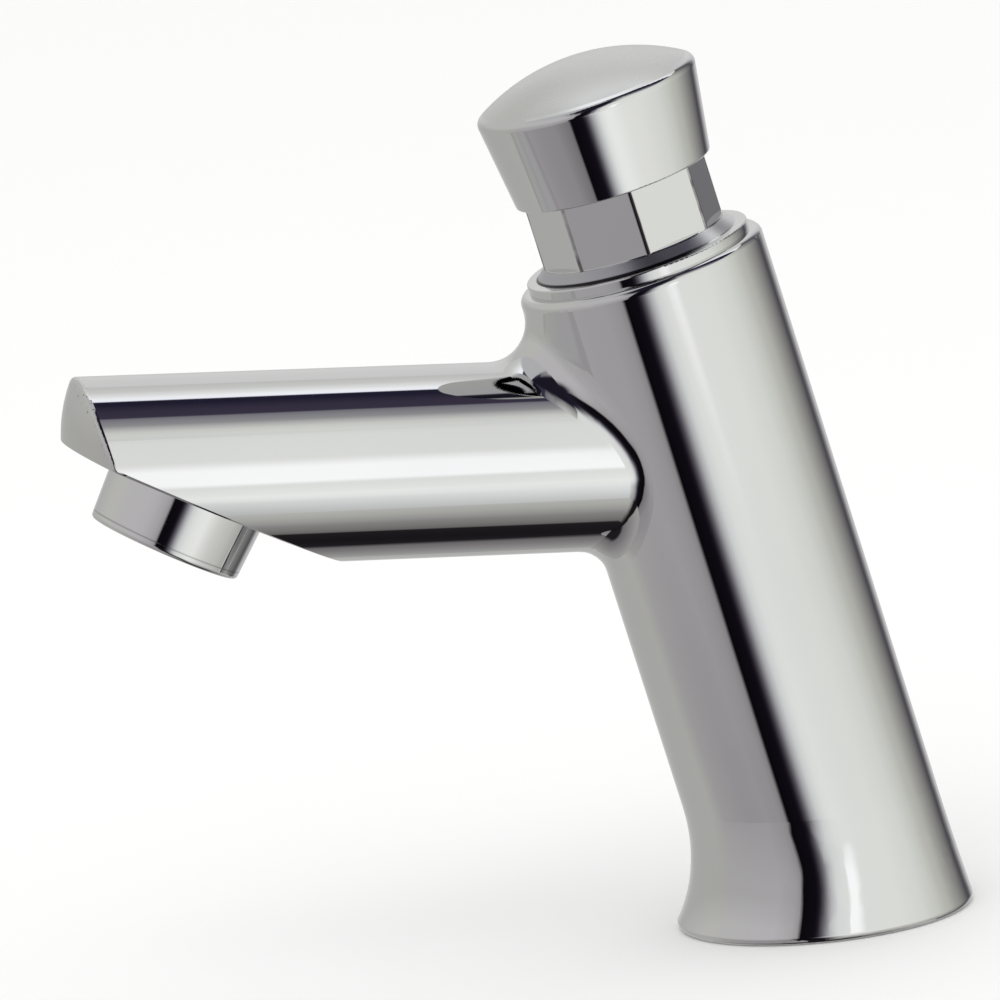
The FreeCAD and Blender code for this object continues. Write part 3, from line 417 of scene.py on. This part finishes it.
def ceilingSheet():
    material, tree, glow = sheetMaterial("tentCeiling")
    width = 2 * tent["radius"]
    along = addCoordinates(tree, centre=(0, -tent["radius"], 0), scale=(width, width, width),
                           turn=(0, 0, math.radians(90)))
    depth = addNode(tree, "ShaderNodeTexGradient", gradient_type="LINEAR")
    tree.links.new(along, depth.inputs["Vector"])
    tone = addRamp(tree, depth.outputs["Fac"], tent["ceiling"])
    around = turnOf(tree)
    tone = addMix(tree, between(tree, around, tent["ceilingLeft"]), tone, tent["leftAbove"])
    stripe = between(tree, around, tent["ceilingStripe"])
    tree.links.new(addMix(tree, stripe, tone, tent["stripeAbove"]), glow.inputs["Color"])
    return material


def groundSheet():
    material, tree, glow = sheetMaterial("tentGround")
    share = 1 / tent["radius"]
    distance = lengthOf(tree, addVector(tree, "MULTIPLY", placeOf(tree), (share, share, 0)))
    around = turnOf(tree)
    behind, ahead = (addRamp(tree, distance, tent[part]) for part in ("groundBehind", "ground"))
    tone = addMix(tree, between(tree, around, tent["frontTurns"]), behind, ahead)
    stripe = between(tree, around, tent["groundStripe"])
    tree.links.new(addMix(tree, stripe, tone, tent["stripeBelow"]), glow.inputs["Color"])
    return material


def onlyForMetal(thing):
    thing.visible_camera = False
    thing.visible_diffuse = False
    thing.visible_transmission = False
    thing.visible_volume_scatter = False
    thing.visible_shadow = False


def buildTent():
    bpy.ops.object.select_all(action="DESELECT")
    bpy.ops.mesh.primitive_cylinder_add(vertices=tent["sides"], radius=tent["radius"],
                                        depth=2 * tent["halfHeight"], location=tent["centre"])
    room = bpy.context.object
    room.name = "lightTent"
    for sheet in (wallSheet(), ceilingSheet(), groundSheet()):
        room.data.materials.append(sheet)
    # The wall has the first material, the ceiling the second and the ground the third.
    for face in room.data.polygons:
        if face.normal.z > tent["flatFrom"]:
            face.material_index = 1
        elif face.normal.z < -tent["flatFrom"]:
            face.material_index = 2
    onlyForMetal(room)


# Floor, world and lamp: plain and pale.
studio = {
    "floorSize": 16.0,
    "floorLevel": -0.0001,
    "floorTone": (0.94, 0.94, 0.935),
    "floorRoughness": 0.9,
    "floorShine": 0.1,
    "worldTone": (1, 1, 1, 1),
    "worldLevel": 0.98,
    "worldSeen": 1.0,
    "lampPlace": (-0.9, -1.1, 1.9),
    "lampSize": 1.4,
    "lampPower": 9.0,
}


def buildFloor():
    bpy.ops.object.select_all(action="DESELECT")
    level = (0, 0, studio["floorLevel"])
    bpy.ops.mesh.primitive_plane_add(size=studio["floorSize"], location=level)
    floor = bpy.context.object
    floor.name = "floorSheet"
    material, surface = newMaterial("paleFloor")
    surface.inputs["Base Color"].default_value = (*studio["floorTone"], 1)
    surface.inputs["Roughness"].default_value = studio["floorRoughness"]
    surface.inputs["Specular IOR Level"].default_value = studio["floorShine"]
    floor.data.materials.append(material)
    floor.visible_glossy = False


def buildWorld():
    # White where it is seen or mirrored, and a little darker where it only lights.
    world = bpy.data.worlds.new("whiteRoom")
    bpy.context.scene.world = world
    world.use_nodes = True
    tree = world.node_tree
    background = tree.nodes["Background"]
    background.inputs["Color"].default_value = studio["worldTone"]
    path = tree.nodes.new("ShaderNodeLightPath")
    seen = addMath(tree, "MAXIMUM", path.outputs["Is Camera Ray"], path.outputs["Is Glossy Ray"])
    through = addMath(tree, "MAXIMUM", seen, path.outputs["Is Transmission Ray"])
    level = addRange(tree, through, 0.0, 1.0, studio["worldLevel"], studio["worldSeen"])
    tree.links.new(level, background.inputs["Strength"])


def buildLamp():
    aim = Vector(tent["centre"]) - Vector(studio["lampPlace"])
    bpy.ops.object.light_add(type="AREA", location=studio["lampPlace"])
    lamp = bpy.context.object
    lamp.name = "softLamp"
    lamp.rotation_mode = "QUATERNION"
    lamp.rotation_quaternion = aim.to_track_quat("-Z", "Y")
    lamp.data.size = studio["lampSize"]
    lamp.data.energy = studio["lampPower"]
    lamp.visible_glossy = False


buildTent()
buildFloor()
buildWorld()
buildLamp()
bpy.context.scene.view_settings.view_transform = "Standard"
print("studio built")


# Places that the finishes follow: heights along an axis, distances from it, and noise.
def alongAxis(tree, start, way):
    offset = addVector(tree, "SUBTRACT", placeOf(tree), start)
    return addVector(tree, "DOT_PRODUCT", offset, way, "Value")


def fromAxis(tree, start, way):
    offset = addVector(tree, "SUBTRACT", placeOf(tree), start)
    return lengthOf(tree, addVector(tree, "CROSS_PRODUCT", offset, way))


def fromPoint(tree, point):
    return addVector(tree, "DISTANCE", placeOf(tree), point, "Value")


def above(tree, value, level, softness):
    return addRange(tree, value, level - softness, level + softness, 0.0, 1.0, smooth=True)


def below(tree, value, level, softness):
    return addRange(tree, value, level - softness, level + softness, 1.0, 0.0, smooth=True)


def noiseOf(tree, scale, detail, roughness, stretch=None, turn=(0, 0, 0)):
    noise = addNode(tree, "ShaderNodeTexNoise", Scale=scale, Detail=detail, Roughness=roughness)
    if stretch is None:
        tree.links.new(placeOf(tree), noise.inputs["Vector"])
    else:
        tree.links.new(addCoordinates(tree, turn=turn, scale=stretch), noise.inputs["Vector"])
    return noise.outputs["Fac"]


# Noises are given by scale, detail and roughness, and borders by level and softness.
# A span is the part of a noise that is used, and a depth is a bump's distance.
chrome = {
    "tone": (0.735, 0.738, 0.735),
    "shade": (0.712, 0.714, 0.716),
    "metal": 1.0,
    "cloud": (22.0, 3.0, 0.55),
    "cloudSpan": (0.3, 0.7),
    "roughness": (0.02, 0.05),
    "smear": (60.0, 5.0, 0.6),
    "smearSpan": (0.4, 0.75),
    "waves": (38.0, 1.0, 0.4),
    "waveDepth": 0.0004,
}


class Layers:
    # Colour, roughness and normal of a finish, laid over each other zone by zone.
    def __init__(self, name):
        self.material, self.surface = newMaterial(name)
        self.tree = self.material.node_tree
        self.normal = None

    def base(self, tone, roughness, metal):
        self.tone, self.roughness, self.metal = tone, roughness, metal

    def zone(self, share, tone, roughness):
        if tone is not None:
            self.tone = addMix(self.tree, share, self.tone, tone)
        self.roughness = self.blend(share, self.roughness, roughness)

    def blend(self, share, first, second):
        # Slots 2 and 3 of a mix node are its plain numbers.
        mix = self.tree.nodes.new("ShaderNodeMix")
        self.tree.links.new(share, mix.inputs["Factor"])
        self.tree.links.new(first, mix.inputs[2])
        if isinstance(second, float):
            mix.inputs[3].default_value = second
        else:
            self.tree.links.new(second, mix.inputs[3])
        return mix.outputs[0]

    def bump(self, height, strength, distance):
        self.normal = addBump(self.tree, height, strength, distance, self.normal)

    def done(self):
        self.surface.inputs["Metallic"].default_value = self.metal
        for value, slot in ((self.tone, "Base Color"), (self.roughness, "Roughness"),
                            (self.normal, "Normal")):
            self.tree.links.new(value, self.surface.inputs[slot])
        return self.material


def chromeLayers(name, waviness, polish=1.0):
    layers = Layers(name)
    tree = layers.tree
    cloud = addRange(tree, noiseOf(tree, *chrome["cloud"]), *chrome["cloudSpan"], 0.0, 1.0)
    tone = addMix(tree, cloud, chrome["shade"], chrome["tone"])
    least, most = (roughness * polish for roughness in chrome["roughness"])
    gloss = addRange(tree, noiseOf(tree, *chrome["smear"]), *chrome["smearSpan"], least, most)
    layers.base(tone, gloss, chrome["metal"])
    layers.bump(noiseOf(tree, *chrome["waves"]), waviness, chrome["waveDepth"])
    return layers


# Cast body: polished outside, satin nose and outlet face, raw brass in the foot's hollow.
bodyFinish = {
    "waviness": 0.12,
    # Polishing streaks run along the spout and along the column.
    "streakNoise": (700.0, 2.0, 0.5),
    "streakStretch": (26, 1, 1),
    "streaks": 0.06,
    "streakDepth": 0.00002,
    # The nose is the face of a ball: its radius, and where it starts along the spout.
    "noseSkin": (0.0254, 0.00015),
    "noseStart": (0.0815, 0.0005),
    "noseTone": (0.70, 0.70, 0.695),
    "noseNoise": (1400.0, 2.0, 0.6),
    "noseSpan": (0.3, 0.7),
    "noseRoughness": (0.17, 0.23),
    # Small pits in a ring at the nose's upper edge.
    "pitSkin": (0.0249, 0.0003),
    "pitRing": (0.0145, 0.0003),
    "pitHeight": (0.0, 0.003),
    "pitNoise": (1900.0, 2.0, 0.6),
    "pitShare": (0.66, 0.03),
    "pitTone": (0.16, 0.15, 0.15),
    "pitRoughness": 0.45,
    # Outlet face: where it lies down the outlet's axis, and its border.
    "outletFace": (0.0045, 0.00006),
    "outletEdge": (0.0175, 0.0003),
    "outletRoughness": 0.16,
    # Hollow of the foot, left as cast.
    "pocketTop": (0.0084, 0.0001),
    "pocketMiddle": (-0.0036, 0, 0),
    "pocketEdge": (0.0192, 0.0002),
    "rawNoise": (700.0, 4.0, 0.6),
    "rawTone": (0.50, 0.34, 0.14),
    "rawShade": (0.30, 0.20, 0.09),
    "rawRoughness": 0.55,
    "rawBump": 0.5,
    "rawDepth": 0.0002,
}


def bodyChrome():
    look = bodyFinish
    layers = chromeLayers("bodyChrome", look["waviness"])
    tree = layers.tree
    streaks = noiseOf(tree, *look["streakNoise"], look["streakStretch"], (0, spoutRise, 0))
    layers.bump(streaks, look["streaks"], look["streakDepth"])

    ball = fromPoint(tree, noseMiddle)
    beyond = above(tree, alongAxis(tree, spoutRoot, spoutWay), *look["noseStart"])
    nose = both(tree, above(tree, ball, *look["noseSkin"]), beyond)
    grain = noiseOf(tree, *look["noseNoise"])
    satin = addRange(tree, grain, *look["noseSpan"], *look["noseRoughness"])
    layers.zone(nose, look["noseTone"], satin)

    ring = above(tree, fromAxis(tree, spoutRoot, spoutWay), *look["pitRing"])
    edge = both(tree, above(tree, ball, *look["pitSkin"]), ring)
    upper = above(tree, alongAxis(tree, noseMiddle, spoutUp), *look["pitHeight"])
    spots = above(tree, noiseOf(tree, *look["pitNoise"]), *look["pitShare"])
    pits = both(tree, spots, both(tree, both(tree, edge, upper), beyond))
    layers.zone(pits, look["pitTone"], look["pitRoughness"])

    outFace = above(tree, alongAxis(tree, outletMiddle, outletDown), *look["outletFace"])
    outEdge = below(tree, fromAxis(tree, outletMiddle, outletDown), *look["outletEdge"])
    layers.zone(both(tree, outFace, outEdge), None, look["outletRoughness"])

    low = below(tree, alongAxis(tree, origin, upright), *look["pocketTop"])
    inside = below(tree, fromAxis(tree, look["pocketMiddle"], upright), *look["pocketEdge"])
    inFoot = both(tree, low, inside)
    cast = noiseOf(tree, *look["rawNoise"])
    rawTone = addMix(tree, cast, look["rawShade"], look["rawTone"])
    layers.zone(inFoot, rawTone, look["rawRoughness"])
    layers.bump(both(tree, cast, inFoot), look["rawBump"], look["rawDepth"])
    return layers.done()


# Bonnet: octagon with worn corners, whose dark tone is a painted reflection, and a finely turned
# flange.
bonnetFinish = {
    "waviness": 0.05,
    "polish": 1.3,
    "nutFoot": (0.1210, 0.0001),
    "corner": (0.01549, 0.00004),
    "wear": (260.0, 2.0, 0.5),
    "wearSpan": (0.35, 0.65),
    "wearShare": (0.35, 1.0),
    # The corners' dark tone is a painted reflection of their rounded edges; the wear only roughens
    # them.
    "wornTone": (0.20, 0.19, 0.20),
    "wornRoughness": 0.22,
    # Dark line down the corner of the octagon that faces the camera: a painted reflection.
    "octagonRadius": 0.01564,
    "darkCorner": -93.9,
    "darkLine": (0.00030, 0.00008),
    "lineTone": (0.03, 0.025, 0.03),
    "lineRoughness": 0.20,
    # Satin cone under the octagon, painted darker in front as shade, with a painted shadow line at
    # its foot.
    "coneFoot": (0.1194, 0.00005),
    "coneFront": (0.0075, 0.0035),
    "coneTone": (0.50, 0.50, 0.53),
    "coneBright": (0.86, 0.86, 0.86),
    "coneRoughness": 0.30,
    "footTop": (0.1196, 0.0001),
    "footInner": (0.0168, 0.0001),
    "footOuter": (0.0174, 0.0001),
    # Turned rings on the flange.
    "flangeTop": (0.1194, 0.0001),
    "ringsPerMetre": 4000.0,
    "ringBump": 0.05,
    "ringDepth": 0.00002,
}


def bonnetChrome():
    look = bonnetFinish
    layers = chromeLayers("bonnetChrome", look["waviness"], look["polish"])
    tree = layers.tree
    height = alongAxis(tree, origin, columnUp)
    away = fromAxis(tree, origin, columnUp)
    onNut = above(tree, height, *look["nutFoot"])
    corner = both(tree, above(tree, away, *look["corner"]), onNut)
    # Worn corners: rougher, and painted dark as the reflection of their rounded edges.
    wearAndReflection = addRange(tree, noiseOf(tree, *look["wear"]), *look["wearSpan"], *look["wearShare"])
    layers.zone(both(tree, corner, wearAndReflection), look["wornTone"], look["wornRoughness"])

    # Painted reflection: a dark line down the corner that faces the camera.
    turn = math.radians(look["darkCorner"])
    place = columnBack * math.cos(turn) + Vector((0, math.sin(turn), 0))
    fromCorner = fromAxis(tree, place * look["octagonRadius"], columnUp)
    line = below(tree, fromCorner, *look["darkLine"])
    layers.zone(both(tree, line, onNut), look["lineTone"], look["lineRoughness"])

    # Painted shade: the cone is darker in front and lighter to the right.
    cone = both(tree, above(tree, height, *look["coneFoot"]), below(tree, height, *look["nutFoot"]))
    across = alongAxis(tree, origin, columnBack)
    toRight = above(tree, across, *look["coneFront"])
    coneTone = addMix(tree, toRight, look["coneTone"], look["coneBright"])
    layers.zone(cone, coneTone, look["coneRoughness"])
    # Painted shadow: a dark line round the cone's foot, in front.
    rim = both(tree, above(tree, away, *look["footInner"]), below(tree, away, *look["footOuter"]))
    foot = both(tree, below(tree, height, *look["footTop"]), rim)
    inFront = below(tree, across, *look["coneFront"])
    layers.zone(both(tree, foot, inFront), look["lineTone"], look["coneRoughness"])

    rings = addNode(tree, "ShaderNodeTexNoise", Scale=1.0, Detail=1.0)
    pack = addNode(tree, "ShaderNodeCombineXYZ")
    tree.links.new(both(tree, away, look["ringsPerMetre"]), pack.inputs["X"])
    tree.links.new(pack.outputs["Vector"], rings.inputs["Vector"])
    onFlange = below(tree, height, *look["flangeTop"])
    layers.bump(both(tree, rings.outputs["Fac"], onFlange), look["ringBump"], look["ringDepth"])
    return layers.done()


# Button: polished side, satin crown, and a hollow painted dark as shade.
buttonFinish = {
    "waviness": 0.05,
    "crownFoot": (0.14862, 0.00012),
    "crownTone": (0.725, 0.727, 0.715),
    "crownNoise": (260.0, 2.0, 0.5),
    "crownSpan": (0.3, 0.7),
    "crownRoughness": (0.266, 0.294),
    "crownGrain": (500.0, 2.0, 0.5),
    "crownBump": 0.012,
    "crownDepth": 0.00002,
    # Painted shade inside the hollow.
    "hollowEdge": (0.01625, 0.00005),
    "hollowTop": (0.1448, 0.0001),
    "hollowTone": (0.05, 0.045, 0.05),
    "hollowRoughness": 0.5,
}


def buttonChrome():
    look = buttonFinish
    layers = chromeLayers("buttonChrome", look["waviness"])
    tree = layers.tree
    height = alongAxis(tree, origin, columnUp)
    away = fromAxis(tree, origin, columnUp)
    crown = above(tree, height, *look["crownFoot"])
    clouds = noiseOf(tree, *look["crownNoise"])
    satin = addRange(tree, clouds, *look["crownSpan"], *look["crownRoughness"])
    layers.zone(crown, look["crownTone"], satin)
    grain = noiseOf(tree, *look["crownGrain"])
    layers.bump(both(tree, grain, crown), look["crownBump"], look["crownDepth"])
    # Painted shade: the hollow under the crown is dark.
    hollow = both(tree, below(tree, away, *look["hollowEdge"]),
                  below(tree, height, *look["hollowTop"]))
    layers.zone(hollow, look["hollowTone"], look["hollowRoughness"])
    return layers.done()


# Aerator housing: polished, with a fine line above its rim, a bumped groove darkened by painted
# shade, and a satin mouth.
aeratorFinish = {
    "waviness": 0.04,
    "linePlace": 0.01275,
    "line": (0.00012, 0.00012),
    "lineBump": -0.5,
    "lineDepth": 0.00006,
    # The line's darker tone is painted shade in its groove.
    "lineTone": (0.45, 0.45, 0.46),
    "lineRoughness": 0.15,
    "mouthEdge": (0.0108, 0.0001),
    "mouthRoughness": 0.22,
}


def aeratorChrome():
    look = aeratorFinish
    layers = chromeLayers("aeratorChrome", look["waviness"])
    tree = layers.tree
    depth = alongAxis(tree, outletMiddle, outletDown)
    off = addMath(tree, "ABSOLUTE", addMath(tree, "SUBTRACT", depth, look["linePlace"]), 0)
    line = below(tree, off, *look["line"])
    layers.bump(line, look["lineBump"], look["lineDepth"])
    # Painted shade darkens the groove's tone.
    layers.zone(line, look["lineTone"], look["lineRoughness"])
    mouth = below(tree, fromAxis(tree, outletMiddle, outletDown), *look["mouthEdge"])
    layers.zone(mouth, None, look["mouthRoughness"])
    return layers.done()


# Pieces inside and under the tap: tones, roughness and grain of each material.
plainFinishes = {
    "raw_brass": {
        "tone": (0.62, 0.42, 0.16), "shade": (0.50, 0.33, 0.13), "rough": (0.25, 0.42),
        "metal": 1.0, "grain": 600.0, "bump": 0.10, "depth": 0.00004,
    },
    "black_rubber": {
        "tone": (0.022, 0.022, 0.023), "shade": (0.012, 0.012, 0.013), "rough": (0.55, 0.75),
        "metal": 0.0, "grain": 900.0, "bump": 0.25, "depth": 0.00006,
    },
    "fibre": {
        "tone": (0.36, 0.10, 0.06), "shade": (0.25, 0.06, 0.04), "rough": (0.75, 0.92),
        "metal": 0.0, "grain": 1100.0, "bump": 0.40, "depth": 0.00008,
    },
    "white_acetal": {
        "tone": (0.80, 0.80, 0.78), "shade": (0.74, 0.74, 0.72), "rough": (0.32, 0.45),
        "metal": 0.0, "grain": 500.0, "bump": 0.08, "depth": 0.00004,
    },
    "grey_acetal": {
        "tone": (0.34, 0.35, 0.36), "shade": (0.27, 0.28, 0.29), "rough": (0.35, 0.50),
        "metal": 0.0, "grain": 500.0, "bump": 0.10, "depth": 0.00004,
    },
    "spring_steel": {
        "tone": (0.46, 0.46, 0.47), "shade": (0.36, 0.36, 0.37), "rough": (0.20, 0.34),
        "metal": 1.0, "grain": 1400.0, "bump": 0.15, "depth": 0.00003,
    },
    "stem_steel": {
        "tone": (0.56, 0.56, 0.57), "shade": (0.47, 0.47, 0.48), "rough": (0.15, 0.28),
        "metal": 1.0, "grain": 1200.0, "bump": 0.10, "depth": 0.00003,
    },
    "strainer_steel": {
        "tone": (0.52, 0.52, 0.53), "shade": (0.42, 0.42, 0.43), "rough": (0.25, 0.40),
        "metal": 1.0, "grain": 1500.0, "bump": 0.20, "depth": 0.00003,
    },
}
# Their clouds' scale is a share of the grain's, and the pairs are detail and roughness.
plainNoise = {
    "cloudShare": 0.15,
    "cloud": (4.0, 0.6),
    "cloudSpan": (0.3, 0.7),
    "grain": (3.0, 0.55),
    "grainSpan": (0.35, 0.7),
}


def plainFinish(slot, look):
    layers = Layers(slot.replace("_", " ").title().replace(" ", "") + "Finish")
    tree = layers.tree
    clouds = noiseOf(tree, plainNoise["cloudShare"] * look["grain"], *plainNoise["cloud"])
    cloud = addRange(tree, clouds, *plainNoise["cloudSpan"], 0.0, 1.0)
    grain = noiseOf(tree, look["grain"], *plainNoise["grain"])
    layers.base(addMix(tree, cloud, look["shade"], look["tone"]),
                addRange(tree, grain, *plainNoise["grainSpan"], *look["rough"]), look["metal"])
    layers.bump(grain, look["bump"], look["depth"])
    return layers.done()


finishes = {
    "body_chrome": bodyChrome(),
    "bonnet_chrome": bonnetChrome(),
    "button_chrome": buttonChrome(),
    "aerator_chrome": aeratorChrome(),
}
for slot, look in plainFinishes.items():
    finishes[slot] = plainFinish(slot, look)

for name in nodes:
    slots = nodes[name].data.materials
    for index, used in enumerate(slots):
        slot = used.name.split(".")[0] if used else ""
        if slot in finishes:
            slots[index] = finishes[slot]
        else:
            print("no finish for", name, slot)
print("finishes laid on")
